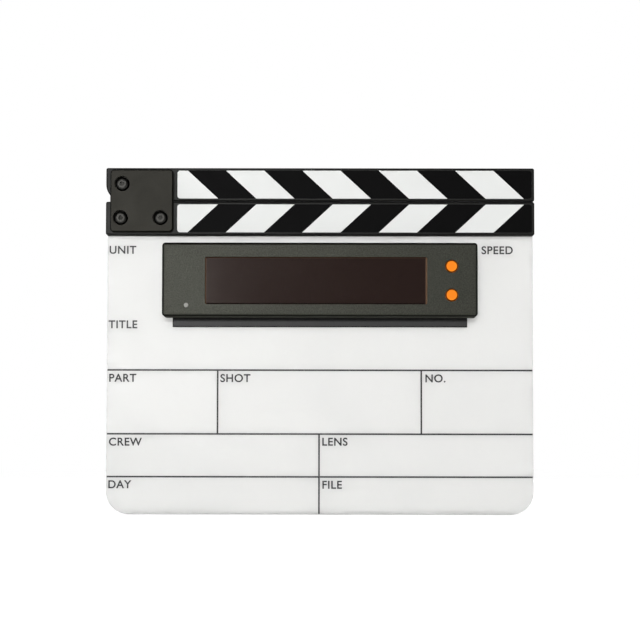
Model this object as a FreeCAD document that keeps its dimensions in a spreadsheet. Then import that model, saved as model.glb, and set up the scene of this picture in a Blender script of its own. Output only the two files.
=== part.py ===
import FreeCAD, Part
import math
import os
import re

import Sketcher

# Driving sizes in millimetres: name of the cell, value, what it measures
SIZES = [
    ("board_inset", 0.3, "board's sides inside the sticks' ends"),
    ("board_thick", 5.0, "writing board, front to back"),
    ("board_field", 187.5, "board's bottom edge up to the lower stick"),
    ("board_corner", 15.5, "radius of the two bottom corners"),
    ("board_edge", 0.4, "bevel along the board's edges"),
    ("board_shy", 1.0, "board's top edge below the lower stick's top"),
    ("stick_length", 288.0, "each stick, end to end"),
    ("stick_height", 22.3, "each stick, bottom to top"),
    ("stick_depth", 11.0, "lower stick, front to back"),
    ("stick_gap", 0.6, "slot left between the closed sticks"),
    ("stick_corner", 1.2, "radius of the sticks' square end corners"),
    ("stick_edge", 0.9, "rounding of the sticks' long edges"),
    ("stripe_start", 47.9, "stick's left end to the stripe recess"),
    ("stripe_rim", 1.6, "rim left around the stripe recess"),
    ("stripe_sink", 0.8, "depth of the stripe recess"),
    ("stripe_thick", 0.5, "thickness of the stripe inlays"),
    ("stripe_corner", 2.0, "radius of the recess's corners"),
    ("stripe_fit", 0.1, "gap around the inlays"),
    ("stripe_head", 27.5, "first white inlay along the meeting edge"),
    ("stripe_tail", 5.4, "last black inlay along the meeting edge"),
    ("stripe_lean_share", 1.08, "sideways run of a stripe for each unit of height"),
    ("plate_side", 3.2, "sticks' left end to the hinge plate"),
    ("plate_inset", 1.5, "sticks' outer edges to the hinge plate"),
    ("plate_width", 42.2, "hinge plate, side to side"),
    ("plate_thick", 4.0, "hinge plate, front to back"),
    ("plate_corner", 2.6, "radius of the plate's corners"),
    ("plate_edge", 0.8, "bevel around the plate's front"),
    ("fixing_near", 7.0, "plate's left edge to the near fixing screw"),
    ("fixing_far", 8.4, "plate's right edge to the far fixing screw"),
    ("fixing_grip", 8.0, "length of a fixing screw inside the lower stick"),
    ("hinge_screw", 2.5, "shank radius of the hinge screws"),
    ("hinge_head", 4.75, "head radius of the hinge screws"),
    ("hinge_head_height", 2.75, "height of the hinge screws' heads"),
    ("hinge_head_round", 2.35, "rounding of the hinge screws' heads"),
    ("hinge_head_room", 0.45, "gap around a head in its counterbore"),
    ("hinge_head_sink", 0.25, "head below the plate's front"),
    ("hinge_key", 1.75, "corner radius of the hex key socket"),
    ("hinge_key_depth", 1.5, "depth of the hex key socket"),
    ("thread_gap", 0.05, "gap around a screw in its threaded hole"),
    ("tip_room", 0.6, "hole left beyond a screw's tip"),
    ("bush_radius", 4.0, "outer radius of the pivot bush"),
    ("bush_slip", 0.1, "gap between the pivot screw and its bush"),
    ("running_gap", 0.05, "gap between the bush and the upper stick"),
    ("side_gap", 0.1, "play of the upper stick along its pivot"),
    ("washer_radius", 6.5, "radius of the pivot washers"),
    ("thrust_thick", 0.5, "washer between plate and upper stick"),
    ("end_thick", 1.0, "washer between upper stick and nut"),
    ("nut_height", 3.2, "pivot lock nut, front to back"),
    ("nut_corner", 4.62, "corner radius of the pivot lock nut"),
    ("nut_edge", 0.4, "bevel of the nut's outer corners"),
    ("nut_past", 0.4, "pivot screw past its nut"),
    ("sink_screw", 2.0, "shank radius of the board's screws"),
    ("sink_head", 3.9, "head radius of the board's screws"),
    ("sink_flush", 0.15, "countersunk heads below the board's back"),
    ("sink_grip", 7.0, "length of a board screw inside the lower stick"),
    ("sink_first", 59.0, "stick's left end to the first board screw"),
    ("sink_last", 14.0, "last board screw to the stick's right end"),
    ("sink_key", 1.4, "corner radius of the board screws' key socket"),
    ("sink_key_depth", 1.2, "depth of the board screws' key socket"),
    ("bracket_inset", 5.9, "bracket's ends inside the display's ends"),
    ("bracket_short", 7.0, "bracket's top below the display's top"),
    ("bracket_thick", 5.0, "display bracket, front to back"),
    ("bracket_drop", 5.9, "bracket's lower edge below the display"),
    ("bracket_edge", 0.5, "bevel around the bracket's front"),
    ("clamp_inset", 29.0, "bracket's end to a clamp screw"),
    ("clamp_screw", 3.1, "shank radius of the clamp screws"),
    ("clamp_head", 5.9, "head radius of the clamp screws"),
    ("clamp_slip", 0.2, "gap around a clamp screw in board and bracket"),
    ("clamp_grip", 5.2, "length of a clamp screw inside the display"),
    ("clamp_key", 2.3, "corner radius of the clamp screws' key socket"),
    ("clamp_key_depth", 2.2, "depth of the clamp screws' key socket"),
    ("unit_width", 210.0, "display, side to side"),
    ("unit_height", 49.2, "display, bottom to top"),
    ("unit_depth", 19.0, "display, front to back"),
    ("unit_below", 6.4, "display's top below the lower stick"),
    ("unit_corner", 2.2, "radius of the display's corners"),
    ("unit_edge", 1.2, "rounding around the display's front"),
    ("cover_wall", 2.0, "side walls of the front cover"),
    ("panel_thick", 2.5, "front panel of the front cover"),
    ("rear_thick", 2.5, "rear cover, front to back"),
    ("rear_edge", 0.6, "bevel around the rear cover's back"),
    ("lip_thick", 1.2, "locating lip of the rear cover"),
    ("lip_height", 1.5, "lip's reach into the front cover"),
    ("lip_fit", 0.2, "gap between the lip and the cover's wall"),
    ("lip_end", 14.0, "display's end to the lip's end"),
    ("boss_radius", 3.0, "screw bosses in the corners of the front cover"),
    ("boss_inset", 4.5, "display's edges to a corner boss's axis"),
    ("boss_gap", 0.6, "gap between a boss and the circuit board"),
    ("cover_screw", 1.25, "shank radius of the cover screws"),
    ("cover_head", 2.3, "head radius of the cover screws"),
    ("cover_head_height", 1.4, "height of the cover screws' heads"),
    ("cover_grip", 8.0, "length of a cover screw inside its boss"),
    ("head_gap", 0.2, "gap around a small screw head"),
    ("small_key", 0.9, "corner radius of the small screws' key socket"),
    ("small_key_depth", 0.7, "depth of the small screws' key socket"),
    ("window_left", 28.5, "display's left end to the window"),
    ("window_right", 33.5, "display's right end to the window"),
    ("window_top", 9.5, "display's top to the window"),
    ("window_bottom", 8.0, "display's bottom to the window"),
    ("window_fit", 0.15, "gap around the window pane"),
    ("window_recess", 0.2, "pane below the front panel"),
    ("window_corner", 1.2, "radius of the window's corners"),
    ("window_bevel", 0.8, "bevel around the pane's front"),
    ("flange_width", 2.0, "pane's flange behind the panel"),
    ("flange_thick", 1.2, "flange, front to back"),
    ("digit_margin", 2.4, "window's edge to the digit modules"),
    ("digit_gap", 0.6, "slot between two digit modules"),
    ("digit_clear", 0.3, "gap between digit modules and pane"),
    ("circuit_thick", 1.6, "circuit board, front to back"),
    ("circuit_margin", 1.4, "circuit board to the cover's wall"),
    ("post_radius", 2.2, "posts that carry the circuit board"),
    ("post_offset", 4.6, "pane's flange to a post's axis"),
    ("post_inset", 6.0, "display's top and bottom to a post's axis"),
    ("circuit_screw", 1.0, "shank radius of the circuit board's screws"),
    ("circuit_head", 1.9, "head radius of the circuit board's screws"),
    ("circuit_head_height", 1.2, "height of the circuit board screws' heads"),
    ("circuit_grip", 4.5, "length of a circuit board screw inside its post"),
    ("battery_length", 72.0, "battery, side to side"),
    ("battery_height", 34.0, "battery, bottom to top"),
    ("battery_thick", 4.0, "battery, front to back"),
    ("battery_round", 1.2, "rounding of the battery"),
    ("battery_gap", 0.4, "gap between battery and circuit board"),
    ("insert_radius", 4.4, "threaded insert"),
    ("insert_length", 6.0, "threaded insert, front to back"),
    ("insert_wall", 1.8, "wall of the boss around an insert"),
    ("button_side", 17.3, "display's right end to the buttons' axes"),
    ("button_top", 15.7, "display's top to the upper button's axis"),
    ("button_bottom", 14.3, "display's bottom to the lower button's axis"),
    ("button_radius", 4.0, "button caps"),
    ("button_gap", 0.45, "gap between a cap and its hole"),
    ("button_proud", 0.6, "cap in front of the panel"),
    ("button_round", 0.7, "rounding of a cap's front edge"),
    ("collar_radius", 5.3, "collar that keeps a button in"),
    ("collar_thick", 1.0, "collar, front to back"),
    ("collar_gap", 0.1, "gap between collar and panel"),
    ("stem_radius", 1.5, "button's stem"),
    ("stem_reach", 0.4, "stem's reach into its switch at rest"),
    ("switch_size", 6.2, "side of a switch"),
    ("switch_height", 3.8, "switch, front to back"),
    ("switch_well", 2.0, "radius of the switch's well"),
    ("switch_well_depth", 2.2, "depth of the switch's well"),
    ("light_side", 16.1, "display's left end to the status light"),
    ("light_rise", 7.4, "display's bottom to the status light"),
    ("light_radius", 1.5, "light guide"),
    ("light_fit", 0.05, "gap around the light guide"),
    ("light_round", 0.3, "rounding of the light guide's front"),
    ("led_width", 1.6, "status lamp, side to side"),
    ("led_height", 0.9, "status lamp, bottom to top"),
    ("led_thick", 0.8, "status lamp, front to back"),
    ("led_gap", 0.4, "gap between status lamp and light guide"),
    ("socket_width", 9.0, "charging socket, bottom to top"),
    ("socket_height", 3.2, "charging socket, front to back"),
    ("socket_length", 7.0, "charging socket, side to side"),
    ("socket_corner", 1.3, "radius of the socket's corners"),
    ("socket_wall", 0.35, "sheet of the socket's shell"),
    ("socket_floor", 1.0, "closed end of the socket"),
    ("socket_recess", 0.2, "socket's mouth below the cover's side"),
    ("socket_fit", 0.3, "gap around the socket in the cover"),
    ("tongue_width", 6.6, "contact tongue, bottom to top"),
    ("tongue_thick", 0.7, "contact tongue, front to back"),
    ("tongue_length", 4.6, "contact tongue, side to side"),
]

# Counts
STRIPE_STEPS = 8
SINK_STEPS = 3
DIGIT_MODULES = 4
HEX_CORNERS = 6

# Closeness that counts as touching when edges are picked
TOUCH = 1e-4

doc = FreeCAD.newDocument("clapperboard")
sheet = doc.addObject("Spreadsheet::Sheet", "sizes")
for row, (name, value, note) in enumerate(SIZES, start=1):
    sheet.set(f"A{row}", name)
    sheet.set(f"B{row}", str(value))
    sheet.set(f"C{row}", note)
    sheet.setAlias(f"B{row}", name)
doc.recompute()

pieces = []


def cells(formula):
    """A formula of size names as an expression on the sheet's cells."""
    return re.sub(r"[a-z]\w*", lambda word: f"sizes.{word[0]}", formula)


def number(formula):
    """The present value of a formula of size names."""
    return float(sheet.evalExpression(cells(formula)))


def start_body(label, x, y, z):
    """An empty body whose own origin stands at the three formulas."""
    body = doc.addObject("PartDesign::Body", label)
    body.Label = label
    for axis, formula in (("x", x), ("y", y), ("z", z)):
        body.setExpression(f"Placement.Base.{axis}", cells(formula))
    return body


def keep(piece):
    """Marks an object as one of the assembly's pieces."""
    pieces.append(piece)
    return piece


def gather(label, members):
    """Equal pieces that share one node."""
    bundle = doc.addObject("Part::Compound", label)
    bundle.Label = label
    bundle.Links = members
    return keep(bundle)


def start_sketch(body, name, offset="0", role="XZ_Plane"):
    """A sketch on one of the body's own planes; on XZ the offset runs to the front."""
    sketch = body.newObject("Sketcher::SketchObject", name)
    plane = [item for item in body.Origin.OriginFeatures if item.Role == role][0]
    sketch.AttachmentSupport = [(plane, "")]
    sketch.MapMode = "FlatFace"
    sketch.setExpression("AttachmentOffset.Base.z", cells(offset))
    return sketch


def bind_point(sketch, item, spot, u, v):
    """Holds one point of a sketch at two formulas."""
    for kind, formula in (("DistanceX", u), ("DistanceY", v)):
        rule = Sketcher.Constraint(kind, -1, 1, item, spot, number(formula))
        index = sketch.addConstraint(rule)
        sketch.setExpression(f"Constraints[{index}]", cells(formula))


def draw_outline(sketch, corners):
    """A closed outline with straight sides through the corners' formulas."""
    spots = [FreeCAD.Vector(number(u), number(v), 0) for u, v in corners]
    sides = []
    for start, end in zip(spots, spots[1:] + spots[:1]):
        sides.append(sketch.addGeometry(Part.LineSegment(start, end), False))
    for side, following in zip(sides, sides[1:] + sides[:1]):
        sketch.addConstraint(Sketcher.Constraint("Coincident", side, 2, following, 1))
    for side, (u, v) in zip(sides, corners):
        bind_point(sketch, side, 1, u, v)


def draw_box(sketch, left, bottom, right, top):
    """A rectangle between four formulas."""
    draw_outline(sketch, [(left, bottom), (right, bottom), (right, top), (left, top)])


def draw_circle(sketch, u, v, radius):
    """A circle with its centre and radius held by formulas."""
    centre = FreeCAD.Vector(number(u), number(v), 0)
    ring = Part.Circle(centre, FreeCAD.Vector(0, 0, 1), number(radius))
    item = sketch.addGeometry(ring, False)
    bind_point(sketch, item, 3, u, v)
    index = sketch.addConstraint(Sketcher.Constraint("Radius", item, number(radius)))
    sketch.setExpression(f"Constraints[{index}]", cells(radius))


def draw_hexagon(sketch, corner_radius):
    """A hexagon about the sketch's origin."""
    corners = []
    for step in range(HEX_CORNERS):
        turn = 2 * math.pi * step / HEX_CORNERS
        u_share, v_share = math.cos(turn), math.sin(turn)
        corners.append((f"{corner_radius} * ({u_share:.6f})", f"{corner_radius} * ({v_share:.6f})"))
    draw_outline(sketch, corners)


def shape_from(body, kind, sketch, length, backwards=False):
    """A pad or pocket of the sketch, with its length held by a formula."""
    feature = body.newObject(f"PartDesign::{kind}", f"{sketch.Name}_{kind.lower()}")
    feature.Profile = sketch
    feature.Reversed = backwards
    feature.setExpression("Length", cells(length))
    doc.recompute()
    sketch.Visibility = False
    return feature


def pad(body, sketch, length, backwards=False):
    """Adds material in front of the sketch, or behind it."""
    return shape_from(body, "Pad", sketch, length, backwards)


def pocket(body, sketch, length, forwards=False):
    """Cuts material behind the sketch, or in front of it, and proves that it did."""
    before = body.Tip.Shape.Volume
    feature = shape_from(body, "Pocket", sketch, length, forwards)
    if feature.Shape.Volume > before - TOUCH:
        raise RuntimeError(f"{feature.Name} removes nothing")
    return feature


def turn_on_y(body, corners):
    """A solid turned about the body's Y axis from corners given as radius and Y."""
    sketch = start_sketch(body, f"{body.Name}_profile", role="XY_Plane")
    draw_outline(sketch, corners)
    feature = body.newObject("PartDesign::Revolution", f"{body.Name}_turned")
    feature.Profile = sketch
    feature.ReferenceAxis = (sketch, ["V_Axis"])
    doc.recompute()
    sketch.Visibility = False
    return feature


def ease_edges(body, kind, formula, wanted):
    """Rounds or bevels every edge whose sample points satisfy the test."""
    base = body.Tip
    names = []
    for index, edge in enumerate(base.Shape.Edges, start=1):
        if wanted(edge, edge.discretize(Number=7)):
            names.append(f"Edge{index}")
    if not names:
        raise RuntimeError(f"{body.Name} has no edge to ease")
    feature = body.newObject(f"PartDesign::{kind}", f"{body.Name}_{kind.lower()}")
    feature.Base = (base, names)
    feature.setExpression("Radius" if kind == "Fillet" else "Size", cells(formula))
    doc.recompute()
    base.Visibility = False
    return feature


def level(points, axis, formula):
    """Tells if all points lie at one coordinate."""
    target = number(formula)
    return all(abs(getattr(point, axis) - target) < TOUCH for point in points)


def runs_deep(points):
    """Tells if an edge runs straight from front to back."""
    same_x = abs(points[0].x - points[-1].x) < TOUCH
    same_z = abs(points[0].z - points[-1].z) < TOUCH
    return same_x and same_z and abs(points[0].y - points[-1].y) > TOUCH


def round_corners(body, radius, where):
    """Rounds front-to-back edges that stand at the given corners."""
    spots = [(number(x), number(z)) for x, z in where]

    def at_corner(edge, points):
        if not runs_deep(points):
            return False
        return any(math.hypot(points[0].x - x, points[0].z - z) < TOUCH for x, z in spots)

    ease_edges(body, "Fillet", radius, at_corner)


def box_corners(left, bottom, right, top):
    """The four corners of a rectangle."""
    return [(left, bottom), (right, bottom), (right, top), (left, top)]


def ease_outline(body, kind, formula, *depths):
    """Rounds or bevels all edges that lie in planes at the given depths."""

    def in_plane(edge, points):
        return any(level(points, "y", f"-({depth})") for depth in depths)

    ease_edges(body, kind, formula, in_plane)


# Places that several pieces share
BOARD_SIDE = "(stick_length / 2 - board_inset)"
STICK_LEFT = "(-stick_length / 2)"
STICK_BACK = "(-board_thick / 2)"
STICK_FRONT = "(-board_thick / 2 - stick_depth)"
UPPER_STICK_Z = "(board_field + stick_height + stick_gap)"
UPPER_STICK_BACK = f"({STICK_BACK} - side_gap)"
UPPER_STICK_DEPTH = "(stick_depth - thrust_thick - 2 * side_gap)"
PIVOT_X = f"({STICK_LEFT} + stick_height / 2)"
PIVOT_Z = f"({UPPER_STICK_Z} + stick_height / 2)"
LOWER_MIDDLE_Z = "(board_field + stick_height / 2)"
FIXING_XS = [
    f"({STICK_LEFT} + plate_side + fixing_near)",
    f"({STICK_LEFT} + plate_side + plate_width - fixing_far)",
]
SINK_PITCH = f"((stick_length - sink_first - sink_last) / {SINK_STEPS})"
SINK_XS = [f"({STICK_LEFT} + sink_first + {step} * {SINK_PITCH})" for step in range(SINK_STEPS + 1)]
UNIT_Z = "(board_field - unit_below - unit_height / 2)"
BRACKET_FRONT = "(-board_thick / 2 - bracket_thick)"
BRACKET_END = "(unit_width / 2 - bracket_inset)"
CLAMP_XS = [f"(clamp_inset - {BRACKET_END})", f"({BRACKET_END} - clamp_inset)"]
REAR_INNER = f"({BRACKET_FRONT} - rear_thick)"
CIRCUIT_BACK = f"({REAR_INNER} - battery_thick - battery_gap)"
CIRCUIT_FRONT = f"({CIRCUIT_BACK} - circuit_thick)"
UNIT_FRONT = f"({BRACKET_FRONT} - unit_depth)"
PANEL_BACK = f"({UNIT_FRONT} + panel_thick)"
PANE_BACK = f"({PANEL_BACK} + flange_thick)"

# Places on the display, measured from its middle
WINDOW_LEFT = "(-unit_width / 2 + window_left)"
WINDOW_RIGHT = "(unit_width / 2 - window_right)"
WINDOW_BOTTOM = "(-unit_height / 2 + window_bottom)"
WINDOW_TOP = "(unit_height / 2 - window_top)"
BUTTON_X = "(unit_width / 2 - button_side)"
BUTTON_ZS = {
    "upper_button": "(unit_height / 2 - button_top)",
    "lower_button": "(-unit_height / 2 + button_bottom)",
}
LIGHT_X = "(-unit_width / 2 + light_side)"
LIGHT_Z = "(-unit_height / 2 + light_rise)"
BOSS_XS = ["(-unit_width / 2 + boss_inset)", "(unit_width / 2 - boss_inset)"]
BOSS_ZS = ["(-unit_height / 2 + boss_inset)", "(unit_height / 2 - boss_inset)"]
POST_XS = [
    f"({WINDOW_LEFT} - flange_width - post_offset)",
    f"({WINDOW_RIGHT} + flange_width + post_offset)",
]
POST_ZS = ["(-unit_height / 2 + post_inset)", "(unit_height / 2 - post_inset)"]
BOSS_SPOTS = [(x, z) for x in BOSS_XS for z in BOSS_ZS]
POST_SPOTS = [(x, z) for x in POST_XS for z in POST_ZS]
UNIT_BOX = ("-unit_width / 2", "-unit_height / 2", "unit_width / 2", "unit_height / 2")

# Writing board, with countersunk holes for the screws that enter from its back
BOARD_TOP = "(board_field + stick_height - board_shy)"
board = keep(start_body("slate_board", "0", "board_thick / 2", "0"))
outline = start_sketch(board, "board_outline")
draw_box(outline, f"-{BOARD_SIDE}", "0", BOARD_SIDE, BOARD_TOP)
pad(board, outline, "board_thick")
round_corners(board, "board_corner", [(f"-{BOARD_SIDE}", "0"), (BOARD_SIDE, "0")])
ease_outline(board, "Chamfer", "board_edge", "0", "board_thick")
SINK_HOLE = "(sink_screw + thread_gap)"
CLAMP_HOLE = "(clamp_screw + clamp_slip)"
for hole, spots, z in ((SINK_HOLE, SINK_XS, LOWER_MIDDLE_Z), (CLAMP_HOLE, CLAMP_XS, UNIT_Z)):
    holes = start_sketch(board, "board_holes", "board_thick")
    for x in spots:
        draw_circle(holes, x, z, hole)
    pocket(board, holes, "board_thick")


def countersink(radius, head):
    """Opens the board's holes of one radius at the back for their screws' heads."""

    def is_rim(edge, points):
        if not isinstance(edge.Curve, Part.Circle):
            return False
        return level(points, "y", "0") and abs(edge.Curve.Radius - number(radius)) < TOUCH

    ease_edges(board, "Chamfer", f"{head} - {radius} + sink_flush + thread_gap", is_rim)


countersink(SINK_HOLE, "sink_head")
countersink(CLAMP_HOLE, "clamp_head")

# Sticks: bars with a milled recess for the stripes on the front
RECESS_RIGHT = "(stick_length - stripe_rim)"
RECESS_TOP = "(stick_height - stripe_rim)"
RECESS_BOX = ("stripe_start", "stripe_rim", RECESS_RIGHT, RECESS_TOP)


def make_stick(label, y, z, depth, corners):
    """One stick, standing on its own left end, bottom and back."""
    stick = keep(start_body(label, STICK_LEFT, y, z))
    bar = start_sketch(stick, f"{label}_bar")
    draw_box(bar, "0", "0", "stick_length", "stick_height")
    pad(stick, bar, depth)
    for radius, spots in corners:
        round_corners(stick, radius, spots)
    ease_outline(stick, "Fillet", "stick_edge", "0", depth)
    recess = start_sketch(stick, f"{label}_recess", depth)
    draw_box(recess, *RECESS_BOX)
    pocket(stick, recess, "stripe_sink")
    round_corners(stick, "stripe_corner", box_corners(*RECESS_BOX))
    return stick


LOW_LEFT, LOW_RIGHT, HIGH_RIGHT, HIGH_LEFT = box_corners("0", "0", "stick_length", "stick_height")
lower_stick = make_stick(
    "lower_stick", STICK_BACK, "board_field", "stick_depth",
    [("stick_corner", [LOW_LEFT, LOW_RIGHT, HIGH_RIGHT, HIGH_LEFT])],
)
fixing_holes = start_sketch(lower_stick, "fixing_holes", "stick_depth")
for x in FIXING_XS:
    draw_circle(fixing_holes, f"{x} - {STICK_LEFT}", "stick_height / 2", "hinge_screw + thread_gap")
pocket(lower_stick, fixing_holes, "fixing_grip + tip_room")
sink_holes = start_sketch(lower_stick, "sink_holes")
for x in SINK_XS:
    draw_circle(sink_holes, f"{x} - {STICK_LEFT}", "stick_height / 2", SINK_HOLE)
pocket(lower_stick, sink_holes, "sink_grip + tip_room", forwards=True)

# The upper stick is round about its pivot below, so that it can swing past the lower one
upper_stick = make_stick(
    "upper_stick", UPPER_STICK_BACK, UPPER_STICK_Z, UPPER_STICK_DEPTH,
    [("stick_corner", [LOW_RIGHT, HIGH_RIGHT, HIGH_LEFT]), ("stick_height / 2", [LOW_LEFT])],
)
pivot_bore = start_sketch(upper_stick, "pivot_bore", UPPER_STICK_DEPTH)
draw_circle(pivot_bore, "stick_height / 2", "stick_height / 2", "bush_radius + running_gap")
pocket(upper_stick, pivot_bore, UPPER_STICK_DEPTH)

# Stripe inlays: leaning black and white pieces side by side in each recess
STRIPE_PITCH = (
    f"(({RECESS_RIGHT} - stripe_tail - stripe_start - stripe_head) / {STRIPE_STEPS})"
)
STRIPE_LEFT = "(stripe_start + stripe_fit)"
STRIPE_RIGHT = f"({RECESS_RIGHT} - stripe_fit)"
STRIPE_SPAN = "(stick_height - 2 * stripe_rim - 2 * stripe_fit)"
STRIPE_RUN = f"(stripe_lean_share * {STRIPE_SPAN})"


def stripe_edge(step):
    """Where one joint between two inlays meets the sticks' common edge, and where it ends."""
    start = f"(stripe_start + stripe_head + {step} * {STRIPE_PITCH})"
    return start, f"({start} - {STRIPE_RUN})"


def make_stripes(label, stick_y, stick_z, depth, inner, outer, first_step):
    """All inlays of one colour on one stick; inner is the edge where the sticks meet."""
    floor_y = f"{stick_y} - {depth} + stripe_sink"
    inlay = keep(start_body(label, STICK_LEFT, floor_y, stick_z))
    sketch = start_sketch(inlay, f"{label}_outline")
    edges = [(STRIPE_LEFT, STRIPE_LEFT)]
    edges += [stripe_edge(step) for step in range(STRIPE_STEPS + 1)]
    edges += [(STRIPE_RIGHT, STRIPE_RIGHT)]
    for left, right in list(zip(edges, edges[1:]))[first_step::2]:
        draw_outline(sketch, [(left[0], inner), (right[0], inner), (right[1], outer), (left[1], outer)])
    pad(inlay, sketch, "stripe_thick")
    end = STRIPE_LEFT if first_step == 0 else STRIPE_RIGHT
    round_corners(inlay, "stripe_corner - stripe_fit", [(end, inner), (end, outer)])
    return inlay


STRIPE_LOW = "(stripe_rim + stripe_fit)"
STRIPE_HIGH = "(stick_height - stripe_rim - stripe_fit)"
for colour, first_step in (("white", 0), ("black", 1)):
    make_stripes(
        f"lower_{colour}_stripes", STICK_BACK, "board_field", "stick_depth",
        STRIPE_HIGH, STRIPE_LOW, first_step,
    )
    make_stripes(
        f"upper_{colour}_stripes", UPPER_STICK_BACK, UPPER_STICK_Z, UPPER_STICK_DEPTH,
        STRIPE_LOW, STRIPE_HIGH, first_step,
    )

# Hinge plate, fixed to the lower stick and carrying the pivot
PLATE_HEIGHT = "(2 * stick_height + stick_gap - 2 * plate_inset)"
PLATE_X = f"({STICK_LEFT} + plate_side)"
PLATE_Z = "(board_field + plate_inset)"
plate = keep(start_body("hinge_plate", PLATE_X, STICK_FRONT, PLATE_Z))
plate_outline = start_sketch(plate, "plate_outline")
draw_box(plate_outline, "0", "0", "plate_width", PLATE_HEIGHT)
pad(plate, plate_outline, "plate_thick")
round_corners(plate, "plate_corner", box_corners("0", "0", "plate_width", PLATE_HEIGHT))
ease_outline(plate, "Chamfer", "plate_edge", "plate_thick")
HEAD_SEAT = "(hinge_head_height + hinge_head_sink)"
HINGE_SPOTS = [(x, LOWER_MIDDLE_Z) for x in FIXING_XS] + [(PIVOT_X, PIVOT_Z)]
COUNTERBORE = "(hinge_head + hinge_head_room)"
for radius, length in ((COUNTERBORE, HEAD_SEAT), ("hinge_screw + thread_gap", "plate_thick")):
    screw_holes = start_sketch(plate, "plate_holes", "plate_thick")
    for x, z in HINGE_SPOTS:
        draw_circle(screw_holes, f"{x} - {PLATE_X}", f"{z} - {PLATE_Z}", radius)
    pocket(plate, screw_holes, length)

# Button-head screws of the hinge; each stands on the seat of its head
HEAD_SEAT_Y = f"({STICK_FRONT} - plate_thick + {HEAD_SEAT})"
SEAT_TO_STICK = f"(plate_thick - {HEAD_SEAT})"


def make_hinge_screw(label, x, z, length):
    """A screw with a domed head in front and a plain shank behind."""
    screw = start_body(label, x, HEAD_SEAT_Y, z)
    turn_on_y(screw, [
        ("0", "-hinge_head_height"),
        ("hinge_head", "-hinge_head_height"),
        ("hinge_head", "0"),
        ("hinge_screw", "0"),
        ("hinge_screw", length),
        ("0", length),
    ])
    ease_outline(screw, "Fillet", "hinge_head_round", "hinge_head_height")
    key = start_sketch(screw, f"{label}_key", "hinge_head_height")
    draw_hexagon(key, "hinge_key")
    pocket(screw, key, "hinge_key_depth")
    return screw


gather("hinge_fixing_screws", [
    make_hinge_screw(f"{side}_fixing_screw", x, LOWER_MIDDLE_Z, f"{SEAT_TO_STICK} + fixing_grip")
    for side, x in zip(("near", "far"), FIXING_XS)
])
PIVOT_STACK = "(stick_depth + end_thick + nut_height + nut_past)"
keep(make_hinge_screw("pivot_screw", PIVOT_X, PIVOT_Z, f"{SEAT_TO_STICK} + {PIVOT_STACK}"))


def make_ring(label, y, inner, outer, thick):
    """A round ring about the pivot, from its back at y towards the front."""
    ring = keep(start_body(label, PIVOT_X, y, PIVOT_Z))
    turn_on_y(ring, [
        (inner, "0"),
        (outer, "0"),
        (outer, f"-{thick}"),
        (inner, f"-{thick}"),
    ])
    return ring


# Bush clamped between plate and end washer, on which the upper stick turns freely
SCREW_BORE = "(hinge_screw + bush_slip)"
END_WASHER_BACK = f"({STICK_BACK} + end_thick)"
make_ring("pivot_bush", STICK_BACK, SCREW_BORE, "bush_radius", "stick_depth")
make_ring(
    "thrust_washer", f"{STICK_FRONT} + thrust_thick",
    "(bush_radius + bush_slip)", "washer_radius", "thrust_thick",
)
make_ring("end_washer", END_WASHER_BACK, SCREW_BORE, "washer_radius", "end_thick")
nut = keep(start_body("pivot_lock_nut", PIVOT_X, f"{END_WASHER_BACK} + nut_height", PIVOT_Z))
nut_outline = start_sketch(nut, "nut_outline")
draw_hexagon(nut_outline, "nut_corner")
pad(nut, nut_outline, "nut_height")
ease_outline(nut, "Chamfer", "nut_edge", "0")
nut_bore = start_sketch(nut, "nut_bore", "nut_height")
draw_circle(nut_bore, "0", "0", "hinge_screw + thread_gap")
pocket(nut, nut_bore, "nut_height")


def make_sunk_screw(label, x, z, shank, head, length, key, key_depth):
    """A countersunk screw that enters from the board's back."""
    screw = start_body(label, x, "board_thick / 2 - sink_flush", z)
    turn_on_y(screw, [
        ("0", "0"),
        (head, "0"),
        (shank, f"{shank} - {head}"),
        (shank, f"-({length} - sink_flush)"),
        ("0", f"-({length} - sink_flush)"),
    ])
    socket = start_sketch(screw, f"{label}_key")
    draw_hexagon(socket, key)
    pocket(screw, socket, key_depth, forwards=True)
    return screw


# Screws that hold the board to the lower stick
gather("stick_screws", [
    make_sunk_screw(
        f"stick_screw_{number_of}", x, LOWER_MIDDLE_Z, "sink_screw", "sink_head",
        "(board_thick + sink_grip)", "sink_key", "sink_key_depth",
    )
    for number_of, x in enumerate(SINK_XS, start=1)
])

# Bracket between board and display, and the screws that clamp the three together
UNIT_BOTTOM = f"({UNIT_Z} - unit_height / 2)"
BRACKET_Z = f"({UNIT_BOTTOM} - bracket_drop)"
bracket = keep(start_body("display_bracket", "0", STICK_BACK, BRACKET_Z))
bracket_outline = start_sketch(bracket, "bracket_outline")
draw_box(bracket_outline, f"-{BRACKET_END}", "0", BRACKET_END, "bracket_drop + unit_height - bracket_short")
pad(bracket, bracket_outline, "bracket_thick")
ease_outline(bracket, "Chamfer", "bracket_edge", "bracket_thick")
bracket_holes = start_sketch(bracket, "bracket_holes", "bracket_thick")
for x in CLAMP_XS:
    draw_circle(bracket_holes, x, f"{UNIT_Z} - {BRACKET_Z}", CLAMP_HOLE)
pocket(bracket, bracket_holes, "bracket_thick")
gather("clamp_screws", [
    make_sunk_screw(
        f"{side}_clamp_screw", x, UNIT_Z, "clamp_screw", "clamp_head",
        "(board_thick + bracket_thick + clamp_grip)", "clamp_key", "clamp_key_depth",
    )
    for side, x in zip(("left", "right"), CLAMP_XS)
])

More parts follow.
